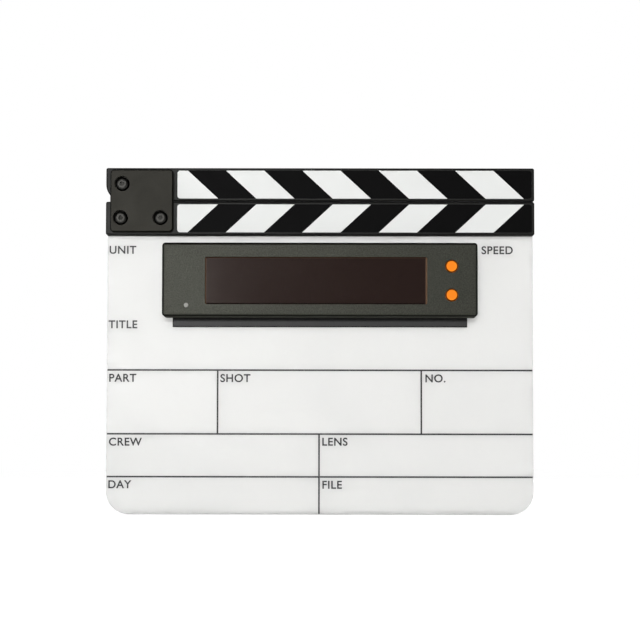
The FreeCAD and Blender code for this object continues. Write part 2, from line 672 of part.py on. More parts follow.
# Rear cover of the display, with bosses for the threaded inserts and a locating lip
rear = keep(start_body("display_rear_cover", "0", BRACKET_FRONT, UNIT_Z))
rear_outline = start_sketch(rear, "rear_outline")
draw_box(rear_outline, *UNIT_BOX)
pad(rear, rear_outline, "rear_thick")
round_corners(rear, "unit_corner", box_corners(*UNIT_BOX))
ease_outline(rear, "Chamfer", "rear_edge", "0")
insert_bosses = start_sketch(rear, "insert_bosses", "rear_thick")
for x in CLAMP_XS:
    draw_circle(insert_bosses, x, "0", "insert_radius + insert_wall")
pad(rear, insert_bosses, "battery_thick")
lips = start_sketch(rear, "rear_lips", "rear_thick")
LIP_OUT = "(unit_height / 2 - cover_wall - lip_fit)"
LIP_IN = f"({LIP_OUT} - lip_thick)"
for low, high in ((LIP_IN, LIP_OUT), (f"-{LIP_OUT}", f"-{LIP_IN}")):
    draw_box(lips, "-unit_width / 2 + lip_end", low, "unit_width / 2 - lip_end", high)
pad(rear, lips, "lip_height")
insert_holes = start_sketch(rear, "insert_holes")
for x in CLAMP_XS:
    draw_circle(insert_holes, x, "0", "insert_radius + thread_gap")
pocket(rear, insert_holes, "insert_length + thread_gap", forwards=True)
COVER_SINK = "(cover_head_height + head_gap)"
for radius, length in (("cover_head + head_gap", COVER_SINK), ("cover_screw + head_gap", "rear_thick")):
    cover_holes = start_sketch(rear, "cover_holes")
    for x, z in BOSS_SPOTS:
        draw_circle(cover_holes, x, z, radius)
    pocket(rear, cover_holes, length, forwards=True)

inserts = keep(start_body("threaded_inserts", "0", BRACKET_FRONT, UNIT_Z))
for ring_size, make in (("insert_radius", pad), ("clamp_screw + thread_gap", pocket)):
    insert_sketch = start_sketch(inserts, "insert_rings", "0" if make is pad else "insert_length")
    for x in CLAMP_XS:
        draw_circle(insert_sketch, x, "0", ring_size)
    make(inserts, insert_sketch, "insert_length")

# Front cover of the display: a deep shell, open at the back
COVER_DEPTH = "(unit_depth - rear_thick)"
CAVITY_DEPTH = f"({COVER_DEPTH} - panel_thick)"
cover = keep(start_body("display_front_cover", "0", REAR_INNER, UNIT_Z))
cover_outline = start_sketch(cover, "cover_outline")
draw_box(cover_outline, *UNIT_BOX)
pad(cover, cover_outline, COVER_DEPTH)
round_corners(cover, "unit_corner", box_corners(*UNIT_BOX))
ease_outline(cover, "Fillet", "unit_edge", COVER_DEPTH)
cavity = start_sketch(cover, "cover_cavity")
CAVITY_X = "(unit_width / 2 - cover_wall)"
CAVITY_Z = "(unit_height / 2 - cover_wall)"
draw_box(cavity, f"-{CAVITY_X}", f"-{CAVITY_Z}", CAVITY_X, CAVITY_Z)
pocket(cover, cavity, CAVITY_DEPTH, forwards=True)
corner_bosses = start_sketch(cover, "corner_bosses", CAVITY_DEPTH)
for x, z in BOSS_SPOTS:
    draw_circle(corner_bosses, x, z, "boss_radius")
pad(cover, corner_bosses, CAVITY_DEPTH, backwards=True)
circuit_posts = start_sketch(cover, "circuit_posts", CAVITY_DEPTH)
for x, z in POST_SPOTS:
    draw_circle(circuit_posts, x, z, "post_radius")
pad(cover, circuit_posts, f"{CIRCUIT_FRONT} - {PANEL_BACK}", backwards=True)
for shank, spots, start, length in (
    ("cover_screw + thread_gap", BOSS_SPOTS, "0", "cover_grip + tip_room"),
    (
        "circuit_screw + thread_gap", POST_SPOTS,
        f"{REAR_INNER} - {CIRCUIT_FRONT}", "circuit_grip + tip_room",
    ),
):
    pilot_holes = start_sketch(cover, "pilot_holes", start)
    for x, z in spots:
        draw_circle(pilot_holes, x, z, shank)
    pocket(cover, pilot_holes, length, forwards=True)
openings = start_sketch(cover, "panel_openings", COVER_DEPTH)
draw_box(openings, WINDOW_LEFT, WINDOW_BOTTOM, WINDOW_RIGHT, WINDOW_TOP)
for z in BUTTON_ZS.values():
    draw_circle(openings, BUTTON_X, z, "button_radius + button_gap")
draw_circle(openings, LIGHT_X, LIGHT_Z, "light_radius + light_fit")
pocket(cover, openings, "panel_thick")
round_corners(cover, "window_corner", box_corners(WINDOW_LEFT, WINDOW_BOTTOM, WINDOW_RIGHT, WINDOW_TOP))
SOCKET_Y = f"({CIRCUIT_FRONT} - socket_height / 2)"
port = start_sketch(cover, "socket_port", "unit_width / 2", role="YZ_Plane")
PORT_Y = f"({SOCKET_Y} - {REAR_INNER})"
draw_box(
    port,
    f"{PORT_Y} - socket_height / 2 - socket_fit", "-socket_width / 2 - socket_fit",
    f"{PORT_Y} + socket_height / 2 + socket_fit", "socket_width / 2 + socket_fit",
)
pocket(cover, port, "cover_wall")


def runs_sideways(points):
    """Tells if an edge runs straight from side to side."""
    same_y = abs(points[0].y - points[-1].y) < TOUCH
    same_z = abs(points[0].z - points[-1].z) < TOUCH
    return same_y and same_z and abs(points[0].x - points[-1].x) > TOUCH


def at_port(edge, points):
    """Tells if an edge runs through the cover's right-hand wall at the port."""
    inside = points[0].x > number("unit_width / 2 - cover_wall") - TOUCH
    outside = points[-1].x > number("unit_width / 2 - cover_wall") - TOUCH
    close = abs(points[0].z) < number("socket_width / 2 + socket_fit") + TOUCH
    return runs_sideways(points) and inside and outside and close


ease_edges(cover, "Fillet", "socket_corner + socket_fit", at_port)

# Window pane, pushed into the panel from behind and stopped by its flange
pane = keep(start_body("display_window", "0", PANE_BACK, UNIT_Z))
flange = start_sketch(pane, "pane_flange")
draw_box(
    flange,
    f"{WINDOW_LEFT} - flange_width", f"{WINDOW_BOTTOM} - flange_width",
    f"{WINDOW_RIGHT} + flange_width", f"{WINDOW_TOP} + flange_width",
)
pad(pane, flange, "flange_thick")
face = start_sketch(pane, "pane_face", "flange_thick")
PANE_BOX = (
    f"({WINDOW_LEFT} + window_fit)", f"({WINDOW_BOTTOM} + window_fit)",
    f"({WINDOW_RIGHT} - window_fit)", f"({WINDOW_TOP} - window_fit)",
)
draw_box(face, *PANE_BOX)
PANE_DEPTH = "(flange_thick + panel_thick - window_recess)"
pad(pane, face, "panel_thick - window_recess")
round_corners(pane, "window_corner - window_fit", box_corners(*PANE_BOX))
ease_outline(pane, "Chamfer", "window_bevel", PANE_DEPTH)

# Circuit board, cut away at its corners for the cover's bosses
circuit = keep(start_body("circuit_board", "0", CIRCUIT_BACK, UNIT_Z))
circuit_outline = start_sketch(circuit, "circuit_outline")
WIDE = f"({CAVITY_X} - circuit_margin)"
TALL = f"({CAVITY_Z} - circuit_margin)"
NOTCH_X = "(unit_width / 2 - boss_inset - boss_radius - boss_gap)"
NOTCH_Z = "(unit_height / 2 - boss_inset - boss_radius - boss_gap)"
draw_outline(circuit_outline, [
    (f"-{WIDE}", f"-{NOTCH_Z}"),
    (f"-{NOTCH_X}", f"-{NOTCH_Z}"),
    (f"-{NOTCH_X}", f"-{TALL}"),
    (NOTCH_X, f"-{TALL}"),
    (NOTCH_X, f"-{NOTCH_Z}"),
    (WIDE, f"-{NOTCH_Z}"),
    (WIDE, NOTCH_Z),
    (NOTCH_X, NOTCH_Z),
    (NOTCH_X, TALL),
    (f"-{NOTCH_X}", TALL),
    (f"-{NOTCH_X}", NOTCH_Z),
    (f"-{WIDE}", NOTCH_Z),
])
pad(circuit, circuit_outline, "circuit_thick")
circuit_holes = start_sketch(circuit, "circuit_holes", "circuit_thick")
for x, z in POST_SPOTS:
    draw_circle(circuit_holes, x, z, "circuit_screw + head_gap")
pocket(circuit, circuit_holes, "circuit_thick")

# Digit modules side by side behind the pane
digits = keep(start_body("digit_modules", "0", CIRCUIT_FRONT, UNIT_Z))
digit_outlines = start_sketch(digits, "digit_outlines")
DIGIT_LEFT = f"({WINDOW_LEFT} + digit_margin)"
DIGIT_RIGHT = f"({WINDOW_RIGHT} - digit_margin)"
DIGIT_PITCH = f"(({DIGIT_RIGHT} - {DIGIT_LEFT} + digit_gap) / {DIGIT_MODULES})"
for step in range(DIGIT_MODULES):
    left = f"({DIGIT_LEFT} + {step} * {DIGIT_PITCH})"
    draw_box(
        digit_outlines,
        left, f"{WINDOW_BOTTOM} + digit_margin",
        f"{left} + {DIGIT_PITCH} - digit_gap", f"{WINDOW_TOP} - digit_margin",
    )
pad(digits, digit_outlines, f"{CIRCUIT_FRONT} - {PANE_BACK} - digit_clear")

# Battery on the rear cover
battery = keep(start_body("battery", "0", REAR_INNER, UNIT_Z))
battery_outline = start_sketch(battery, "battery_outline")
BATTERY_BOX = ("-battery_length / 2", "-battery_height / 2", "battery_length / 2", "battery_height / 2")
draw_box(battery_outline, *BATTERY_BOX)
pad(battery, battery_outline, "battery_thick")
round_corners(battery, "battery_round", box_corners(*BATTERY_BOX))
ease_outline(battery, "Fillet", "battery_round", "battery_thick")

# Push buttons and the switches behind them
switches = keep(start_body("button_switches", "0", CIRCUIT_FRONT, UNIT_Z))
switch_outlines = start_sketch(switches, "switch_outlines")
for z in BUTTON_ZS.values():
    draw_box(
        switch_outlines,
        f"{BUTTON_X} - switch_size / 2", f"{z} - switch_size / 2",
        f"{BUTTON_X} + switch_size / 2", f"{z} + switch_size / 2",
    )
pad(switches, switch_outlines, "switch_height")
wells = start_sketch(switches, "switch_wells", "switch_height")
for z in BUTTON_ZS.values():
    draw_circle(wells, BUTTON_X, z, "switch_well")
pocket(switches, wells, "switch_well_depth")

COLLAR_FRONT = f"({PANEL_BACK} + collar_gap)"
COLLAR_BACK = f"({COLLAR_FRONT} + collar_thick)"
STEM_END = f"({CIRCUIT_FRONT} - switch_height + stem_reach)"
for label, z in BUTTON_ZS.items():
    button = keep(start_body(label, BUTTON_X, UNIT_FRONT, f"{UNIT_Z} + {z}"))
    turn_on_y(button, [
        ("0", "-button_proud"),
        ("button_radius", "-button_proud"),
        ("button_radius", f"{COLLAR_FRONT} - {UNIT_FRONT}"),
        ("collar_radius", f"{COLLAR_FRONT} - {UNIT_FRONT}"),
        ("collar_radius", f"{COLLAR_BACK} - {UNIT_FRONT}"),
        ("stem_radius", f"{COLLAR_BACK} - {UNIT_FRONT}"),
        ("stem_radius", f"{STEM_END} - {UNIT_FRONT}"),
        ("0", f"{STEM_END} - {UNIT_FRONT}"),
    ])
    ease_outline(button, "Fillet", "button_round", "button_proud")

# Status light: a lamp on the circuit board and the guide that brings its light to the panel
LAMP_FRONT = f"({CIRCUIT_FRONT} - led_thick)"
lamp = keep(start_body("status_lamp", LIGHT_X, CIRCUIT_FRONT, f"{UNIT_Z} + {LIGHT_Z}"))
lamp_outline = start_sketch(lamp, "lamp_outline")
draw_box(lamp_outline, "-led_width / 2", "-led_height / 2", "led_width / 2", "led_height / 2")
pad(lamp, lamp_outline, "led_thick")
GUIDE_LENGTH = f"({LAMP_FRONT} - led_gap - {UNIT_FRONT})"
guide = keep(start_body("light_guide", LIGHT_X, f"{LAMP_FRONT} - led_gap", f"{UNIT_Z} + {LIGHT_Z}"))
guide_outline = start_sketch(guide, "guide_outline")
draw_circle(guide_outline, "0", "0", "light_radius")
pad(guide, guide_outline, GUIDE_LENGTH)
ease_outline(guide, "Fillet", "light_round", GUIDE_LENGTH)

# Charging socket at the display's right-hand end: a shell with a contact tongue
SOCKET_X = "(unit_width / 2 - socket_recess - socket_length)"
socket = keep(start_body("charging_socket", SOCKET_X, SOCKET_Y, UNIT_Z))
shell = start_sketch(socket, "socket_shell", role="YZ_Plane")
draw_box(shell, "-socket_height / 2", "-socket_width / 2", "socket_height / 2", "socket_width / 2")
pad(socket, shell, "socket_length")
mouth = start_sketch(socket, "socket_mouth", "socket_length", role="YZ_Plane")
MOUTH_Y = "(socket_height / 2 - socket_wall)"
MOUTH_Z = "(socket_width / 2 - socket_wall)"
draw_box(mouth, f"-{MOUTH_Y}", f"-{MOUTH_Z}", MOUTH_Y, MOUTH_Z)
pocket(socket, mouth, "socket_length - socket_floor")


def round_socket(radius, half_height, half_width):
    """Rounds the four side-to-side edges of the socket's mouth or shell."""

    def at_corner(edge, points):
        off_y = abs(abs(points[0].y) - number(half_height))
        off_z = abs(abs(points[0].z) - number(half_width))
        return runs_sideways(points) and off_y + off_z < TOUCH

    ease_edges(socket, "Fillet", radius, at_corner)


round_socket("socket_corner - socket_wall", MOUTH_Y, MOUTH_Z)
round_socket("socket_corner", "socket_height / 2", "socket_width / 2")
tongue = start_sketch(socket, "socket_tongue", "socket_floor", role="YZ_Plane")
draw_box(tongue, "-tongue_thick / 2", "-tongue_width / 2", "tongue_thick / 2", "tongue_width / 2")
pad(socket, tongue, "tongue_length")


def make_small_screw(label, x, y, z, shank, head, head_height, length):
    """A flat-headed screw whose head stands behind its seat at y."""
    screw = start_body(label, x, y, f"{UNIT_Z} + {z}")
    turn_on_y(screw, [
        ("0", head_height),
        (head, head_height),
        (head, "0"),
        (shank, "0"),
        (shank, f"-({length})"),
        ("0", f"-({length})"),
    ])
    key = start_sketch(screw, f"{label}_key", f"-{head_height}")
    draw_hexagon(key, "small_key")
    pocket(screw, key, "small_key_depth", forwards=True)
    return screw


# Screws that close the covers, and screws that hold the circuit board on its posts
COVER_SEAT = f"({BRACKET_FRONT} - {COVER_SINK})"
gather("cover_screws", [
    make_small_screw(
        f"cover_screw_{index}", x, COVER_SEAT, z, "cover_screw", "cover_head",
        "cover_head_height", f"rear_thick - {COVER_SINK} + cover_grip",
    )
    for index, (x, z) in enumerate(BOSS_SPOTS, start=1)
])
gather("circuit_screws", [
    make_small_screw(
        f"circuit_screw_{index}", x, CIRCUIT_BACK, z, "circuit_screw", "circuit_head",
        "circuit_head_height", "circuit_thick + circuit_grip",
    )
    for index, (x, z) in enumerate(POST_SPOTS, start=1)
])

doc.recompute()
for item in doc.Objects:
    if "Invalid" in item.State or "Error" in item.State:
        raise RuntimeError(f"{item.Name} is {item.State}")
for piece in pieces:
    if piece.Shape.isNull() or not piece.Shape.isValid() or not piece.Shape.Solids:
        raise RuntimeError(f"{piece.Label} has no valid solid")

os.makedirs("parts", exist_ok=True)
for piece in pieces:
    piece.Shape.exportStep(f"parts/{piece.Label}.step")
    print(piece.Label, len(piece.Shape.Solids), "solids", round(piece.Shape.Volume, 2), "mm3")
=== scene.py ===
# %% [markdown]
# # Dressing a clapperboard
# The frame holds the solids that CAD made: a white writing board, two striped sticks on a hinge, and a
# time display on a bracket. Each solid stays where it is. This lesson gives every surface its finish,
# prints the fields on the board, and lights it all like a small product picture. Lengths are metres, in
# the frame of the CAD model: X to the right, Y to the back, Z up.

# %% Load the frame
import math

import bmesh
import bpy
from mathutils import Matrix, Quaternion, Vector


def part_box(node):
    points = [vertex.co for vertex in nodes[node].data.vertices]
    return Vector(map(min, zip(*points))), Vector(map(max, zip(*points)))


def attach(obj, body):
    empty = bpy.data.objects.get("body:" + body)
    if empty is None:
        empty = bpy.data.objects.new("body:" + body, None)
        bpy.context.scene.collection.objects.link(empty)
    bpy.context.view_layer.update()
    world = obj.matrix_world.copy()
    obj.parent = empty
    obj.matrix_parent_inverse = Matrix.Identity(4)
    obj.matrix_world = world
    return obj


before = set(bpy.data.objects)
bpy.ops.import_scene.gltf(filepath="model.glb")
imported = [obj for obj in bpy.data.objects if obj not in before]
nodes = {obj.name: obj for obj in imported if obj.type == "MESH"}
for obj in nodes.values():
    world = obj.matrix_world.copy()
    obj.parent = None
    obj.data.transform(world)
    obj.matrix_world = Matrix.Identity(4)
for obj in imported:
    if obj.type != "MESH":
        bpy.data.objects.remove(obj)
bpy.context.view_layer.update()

# %% [markdown]
# ## The camera
# The picture is taken almost straight on, from a little below the middle of the board, with a long lens
# that hardly shows any perspective. A camera could be placed by eye, but a few angles round one aim point
# are easier to correct: change one number and only that one thing moves.

# %% Camera
MM = 0.001
AIM = Vector((0.03, 0.0, 131.07)) * MM
CAMERA_DISTANCE = 1500 * MM
CAMERA_TURN = math.radians(0.32)
CAMERA_RISE = math.radians(-3.5)
CAMERA_ROLL = math.radians(0.1)
LENS_MM = 124.8


def around(aim, distance, turn, rise):
    """A place at that distance from aim: turn goes to the right of the front, rise goes up."""
    way = Vector((math.sin(turn) * math.cos(rise), -math.cos(turn) * math.cos(rise), math.sin(rise)))
    return aim + distance * way


def look_at(place, aim):
    """The turn that points a camera or a lamp from place to aim."""
    return (aim - place).to_track_quat("-Z", "Y")


camera = bpy.data.objects.new("camera", bpy.data.cameras.new("camera"))
camera.data.lens = LENS_MM
camera.location = around(AIM, CAMERA_DISTANCE, CAMERA_TURN, CAMERA_RISE)
camera.rotation_mode = "QUATERNION"
camera.rotation_quaternion = look_at(camera.location, AIM) @ Quaternion((0, 0, 1), CAMERA_ROLL)
bpy.context.scene.collection.objects.link(camera)
bpy.context.scene.camera = camera
bpy.context.scene.view_settings.view_transform = "Standard"
print("camera at", [round(x, 4) for x in camera.location])

# %% [markdown]
# ## The stage
# The background of the picture is plain white. Lighting a real sheet of paper up to white would spill
# light on the object, so the floor and the backdrop are white only to what looks at them: camera rays,
# reflections and rays through glass see an even white, while other rays meet an ordinary pale surface.
# On the floor a share of that pale surface stays in the camera's view, so the object keeps its shadow.

# %% Object and node helpers
WHITE = (1, 1, 1, 1)


def add_object(name, mesh):
    """An object for that mesh at the origin, in the scene."""
    thing = bpy.data.objects.new(name, mesh)
    bpy.context.scene.collection.objects.link(thing)
    return thing


def mesh_from(name, bm):
    """A mesh made from a bmesh, which is freed."""
    mesh = bpy.data.meshes.new(name)
    bm.to_mesh(mesh)
    bm.free()
    return mesh


def add_node(tree, kind, values=None, **settings):
    """A shader node with its settings and the values of its input sockets."""
    node = tree.nodes.new(kind)
    for name, value in settings.items():
        setattr(node, name, value)
    for socket, value in (values or {}).items():
        node.inputs[socket].default_value = value
    return node


def start_material(name):
    """A new material, its node tree and its Principled shader."""
    material = bpy.data.materials.new(name)
    material.use_nodes = True
    return material, material.node_tree, material.node_tree.nodes["Principled BSDF"]


# %% Studio white
PAPER = (0.82, 0.82, 0.82, 1)
PAPER_ROUGHNESS = 0.9


def make_studio_white(name, shadow_share, glow_strength):
    """Paper that looks white, with a share of its own light and shadow left in view."""
    material, tree, paper = start_material(name)
    paper.inputs["Base Color"].default_value = PAPER
    paper.inputs["Roughness"].default_value = PAPER_ROUGHNESS
    paper.inputs["Specular IOR Level"].default_value = 0.0
    rays = add_node(tree, "ShaderNodeLightPath")
    seen = add_node(tree, "ShaderNodeMath", operation="ADD")
    looked_at = add_node(tree, "ShaderNodeMath", operation="ADD", use_clamp=True)
    share = add_node(tree, "ShaderNodeMath", {1: 1 - shadow_share}, operation="MULTIPLY")
    glow = add_node(tree, "ShaderNodeEmission", {"Color": WHITE, "Strength": glow_strength})
    blend = add_node(tree, "ShaderNodeMixShader")
    tree.links.new(rays.outputs["Is Camera Ray"], seen.inputs[0])
    tree.links.new(rays.outputs["Is Glossy Ray"], seen.inputs[1])
    tree.links.new(seen.outputs[0], looked_at.inputs[0])
    tree.links.new(rays.outputs["Is Transmission Ray"], looked_at.inputs[1])
    tree.links.new(looked_at.outputs[0], share.inputs[0])
    tree.links.new(share.outputs[0], blend.inputs["Fac"])
    tree.links.new(paper.outputs[0], blend.inputs[1])
    tree.links.new(glow.outputs[0], blend.inputs[2])
    tree.links.new(blend.outputs[0], tree.nodes["Material Output"].inputs["Surface"])
    return material


FLOOR_SHADOW_SHARE, FLOOR_GLOW = 0.12, 1.12
BACKDROP_SHADOW_SHARE, BACKDROP_GLOW = 0.0, 1.0
floor_white = make_studio_white("floor_white", FLOOR_SHADOW_SHARE, FLOOR_GLOW)
backdrop_white = make_studio_white("backdrop_white", BACKDROP_SHADOW_SHARE, BACKDROP_GLOW)
print("stage papers:", floor_white.name, backdrop_white.name)

# %% [markdown]
# The floor is a wide disc just under the board's edge. The backdrop is a wall that rises from the disc in
# one smooth bend, so no corner shows. It is spun round the object's back and sides and left open in front,
# where a dark room keeps the black pieces black. The disc reaches far beyond the wall, because a view from
# behind looks out through that opening.

# %% Floor and backdrop
FLOOR_DROP = 0.2 * MM
FLOOR_RADIUS = 14.0
FLOOR_SEGMENTS = 96
WALL_RADIUS = 4.0
WALL_BEND = 1.0
WALL_TOP = 4.0
WALL_SWEEP = math.radians(230)
BEND_STEPS = 10
SWEEP_STEPS = 48

bm = bmesh.new()
bmesh.ops.create_circle(bm, cap_ends=True, segments=FLOOR_SEGMENTS, radius=FLOOR_RADIUS)
bmesh.ops.translate(bm, verts=bm.verts, vec=(0, 0, -FLOOR_DROP))
floor = add_object("floor", mesh_from("floor", bm))
floor.data.materials.append(floor_white)

bm = bmesh.new()
foot = bm.verts.new((0, -WALL_RADIUS, -FLOOR_DROP))
bend = bmesh.ops.spin(
    bm, geom=[foot], cent=(0, -WALL_RADIUS, WALL_BEND), axis=(1, 0, 0), angle=-math.pi / 2,
    steps=BEND_STEPS, space=Matrix.Identity(4),
)
bend_end = [v for v in bend["geom_last"] if isinstance(v, bmesh.types.BMVert)]
wall = bmesh.ops.extrude_vert_indiv(bm, verts=bend_end)
bmesh.ops.translate(bm, verts=wall["verts"], vec=(0, 0, WALL_TOP))
turn_start = Matrix.Rotation(math.pi - WALL_SWEEP / 2, 3, "Z")
bmesh.ops.rotate(bm, verts=bm.verts, cent=(0, 0, 0), matrix=turn_start)
bmesh.ops.spin(
    bm, geom=bm.verts[:] + bm.edges[:], cent=(0, 0, 0), axis=(0, 0, 1), angle=WALL_SWEEP,
    steps=SWEEP_STEPS, space=Matrix.Identity(4),
)
bmesh.ops.recalc_face_normals(bm, faces=bm.faces)
backdrop = add_object("backdrop", mesh_from("backdrop", bm))
backdrop.data.materials.append(backdrop_white)
backdrop.data.shade_smooth()
print("stage:", [tuple(round(x, 2) for x in piece.dimensions) for piece in (floor, backdrop)])

# %% [markdown]
# ## The light
# Hardly any shadow shows beside the display and only a narrow one below it, so the main lamp stands close
# to the camera's own line of sight, a little higher. It would also dull the dark pieces with an even
# gloss, so it is hidden from reflections, and a second lamp at the left, seen only in reflections, gives
# the shine that fades to the right. A third lamp stands behind, so that light also comes through the
# milky board, and two more light the flanks, which the front lamp can't reach. A weak world light does
# the rest.

# %% Lamps and world
LAMP_DISTANCE = 2.2
FRONT_TURN = math.radians(-1.5)
FRONT_RISE = math.radians(6.3)
FRONT_SIZE = 0.2
FRONT_WATTS = 37.5
SHINE_TURN = math.radians(-12.5)
SHINE_RISE = math.radians(5.5)
SHINE_SIZE = 0.23
SHINE_WATTS = 26.0
BACK_TURN = math.radians(180)
BACK_RISE = math.radians(10)
BACK_SIZE = 1.4
BACK_WATTS = 46.0
FLANK_TURN = math.radians(105)
FLANK_RISE = math.radians(9)
FLANK_SIZE = 0.5
FLANK_WATTS = 16.0
WORLD_LIGHT = 0.045


def add_softbox(name, turn, rise, size, watts):
    """A square lamp that faces the middle of the board."""
    lamp = bpy.data.lights.new(name, "AREA")
    lamp.shape = "SQUARE"
    lamp.size = size
    lamp.energy = watts
    thing = bpy.data.objects.new(name, lamp)
    thing.location = around(AIM, LAMP_DISTANCE, turn, rise)
    thing.rotation_mode = "QUATERNION"
    thing.rotation_quaternion = look_at(thing.location, AIM)
    thing.visible_camera = False
    bpy.context.scene.collection.objects.link(thing)
    return thing


front_lamp = add_softbox("front_lamp", FRONT_TURN, FRONT_RISE, FRONT_SIZE, FRONT_WATTS)
front_lamp.visible_glossy = False
shine_lamp = add_softbox("shine_lamp", SHINE_TURN, SHINE_RISE, SHINE_SIZE, SHINE_WATTS)
shine_lamp.visible_diffuse = False
back_lamp = add_softbox("back_lamp", BACK_TURN, BACK_RISE, BACK_SIZE, BACK_WATTS)
left_lamp = add_softbox("left_lamp", -FLANK_TURN, FLANK_RISE, FLANK_SIZE, FLANK_WATTS)
right_lamp = add_softbox("right_lamp", FLANK_TURN, FLANK_RISE, FLANK_SIZE, FLANK_WATTS)
lamps = (front_lamp, shine_lamp, back_lamp, left_lamp, right_lamp)
world = bpy.data.worlds.new("room")
world.use_nodes = True
world.node_tree.nodes["Background"].inputs["Color"].default_value = WHITE
world.node_tree.nodes["Background"].inputs["Strength"].default_value = WORLD_LIGHT
bpy.context.scene.world = world
print("lamps:", [(lamp.name, lamp.data.energy) for lamp in lamps], "world", WORLD_LIGHT)

# %% [markdown]
# ## Tools for the finishes
# Every finish needs the same few things: to mix two colours by a mask, to spread a value over another
# range, and to turn a height into relief. Small helpers keep each finish readable. The textures all read
# Object coordinates, which are metres here, so a texture scale of 1000 gives features of one millimetre.

# %% Texture helpers
# A Mix node has sockets for every kind of value: which inputs are the two ends, and which output to take
MIX_SOCKETS = {"RGBA": (slice(6, 8), 2), "FLOAT": (slice(2, 4), 0)}


def mix(tree, mask, first, second, kind="RGBA"):
    """A colour, or a number, between first and second, as the mask asks for."""
    ends, result = MIX_SOCKETS[kind]
    node = add_node(tree, "ShaderNodeMix", data_type=kind)
    tree.links.new(mask, node.inputs["Factor"])
    for socket, end in zip(node.inputs[ends], (first, second)):
        if isinstance(end, bpy.types.NodeSocket):
            tree.links.new(end, socket)
        else:
            socket.default_value = end
    return node.outputs[result]


def remap(tree, value, low, high, start=0.0, end=1.0):
    """The stretch of a value from start to end, spread over low to high."""
    limits = {"From Min": start, "From Max": end, "To Min": low, "To Max": high}
    node = add_node(tree, "ShaderNodeMapRange", limits)
    tree.links.new(value, node.inputs["Value"])
    return node.outputs["Result"]


def combine(tree, operation, first, second):
    """The result of a math operation on two values."""
    node = add_node(tree, "ShaderNodeMath", operation=operation)
    tree.links.new(first, node.inputs[0])
    tree.links.new(second, node.inputs[1])
    return node.outputs[0]


def add_relief(tree, shader, height, depth):
    """Fine relief of that depth on the surface, without changing its mesh."""
    bump = add_node(tree, "ShaderNodeBump", {"Strength": 1.0, "Distance": depth})
    tree.links.new(height, bump.inputs["Height"])
    tree.links.new(bump.outputs["Normal"], shader.inputs["Normal"])


# %% [markdown]
# ## Effects that many finishes share
# Grain, smudges, drawn lines, hairline scratches and worn edges turn up on metal, plastic and acrylic
# alike, and so do a painted shade on eased edges, in corners and along an outline, and a painted glow on
# the pane's rim. Each is a node group that is built once, with its sizes as inputs, and placed in every
# finish that needs it. A copy of the nodes in each finish would also work, but then one correction would
# have to be made twenty times.

# %% Group helpers
def start_group(name, inputs, outputs):
    """A new shader group with number inputs and outputs, and the nodes at its two ends."""
    group = bpy.data.node_groups.new(name, "ShaderNodeTree")
    for label, value in inputs.items():
        socket = group.interface.new_socket(label, in_out="INPUT", socket_type="NodeSocketFloat")
        socket.default_value = value
    for label in outputs:
        group.interface.new_socket(label, in_out="OUTPUT", socket_type="NodeSocketFloat")
    return group, group.nodes.new("NodeGroupInput"), group.nodes.new("NodeGroupOutput")


def place_group(tree, group, values):
    """The group as a node in a finish, with that finish's own values."""
    return add_node(tree, "ShaderNodeGroup", values, node_tree=group)


def add_noise(tree, points, scale, detail, distortion=0.0):
    """Noise on those points; scale is a socket or a number."""
    values = {"Detail": detail, "Distortion": distortion}
    noise = add_node(tree, "ShaderNodeTexNoise", values)
    tree.links.new(points, noise.inputs["Vector"])
    if isinstance(scale, bpy.types.NodeSocket):
        tree.links.new(scale, noise.inputs["Scale"])
    else:
        noise.inputs["Scale"].default_value = scale
    return noise.outputs["Fac"]


# %% [markdown]
# Grain is fine even noise. Its middle range becomes the speckle that mixes two body colours, and the
# noise itself is the height of the relief. Smudges are the same noise, much larger and stirred. A band is
# the stretch of a value that a mask spreads out from nothing to full.

# %% Grain and smudges
GRAIN_DETAIL, SPECKLE_BAND = 3.0, (0.36, 0.64)
SMUDGE_DETAIL, SMUDGE_STIR, SMUDGE_BAND = 5.0, 1.4, (0.42, 0.66)

fine_grain, given, result = start_group("fine_grain", {"Scale": 1000.0}, ["Speckle", "Height"])
points = add_node(fine_grain, "ShaderNodeTexCoord").outputs["Object"]
grain = add_noise(fine_grain, points, given.outputs["Scale"], GRAIN_DETAIL)
fine_grain.links.new(remap(fine_grain, grain, 0, 1, *SPECKLE_BAND), result.inputs["Speckle"])
fine_grain.links.new(grain, result.inputs["Height"])

smudges, given, result = start_group("smudges", {"Scale": 40.0}, ["Mask"])
points = add_node(smudges, "ShaderNodeTexCoord").outputs["Object"]
clouds = add_noise(smudges, points, given.outputs["Scale"], SMUDGE_DETAIL, SMUDGE_STIR)
smudges.links.new(remap(smudges, clouds, 0, 1, *SMUDGE_BAND), result.inputs["Mask"])
print("groups:", fine_grain.name, smudges.name)

# %% [markdown]
# Drawn metal shows lines that all run one way. Noise does that when its coordinates are packed tightly
# across the lines and left loose along them, here along X, the way the long bars were drawn. Hairlines
# are the scratches of use: two such noises at different slants, of which only the highest ridges stay.

# %% Drawn lines
LINE_DETAIL, LINE_BAND = 2.0, (0.3, 0.7)

drawn_lines, given, result = start_group("drawn_lines", {"Along": 30.0, "Across": 2500.0}, ["Lines"])
points = add_node(drawn_lines, "ShaderNodeTexCoord").outputs["Object"]
packing = add_node(drawn_lines, "ShaderNodeCombineXYZ")
for socket, label in zip(packing.inputs, ("Along", "Across", "Across")):
    drawn_lines.links.new(given.outputs[label], socket)
packed = add_node(drawn_lines, "ShaderNodeVectorMath", operation="MULTIPLY")
drawn_lines.links.new(points, packed.inputs[0])
drawn_lines.links.new(packing.outputs[0], packed.inputs[1])
lines = add_noise(drawn_lines, packed.outputs[0], 1.0, LINE_DETAIL)
drawn_lines.links.new(remap(drawn_lines, lines, 0, 1, *LINE_BAND), result.inputs["Lines"])
print("group:", drawn_lines.name)

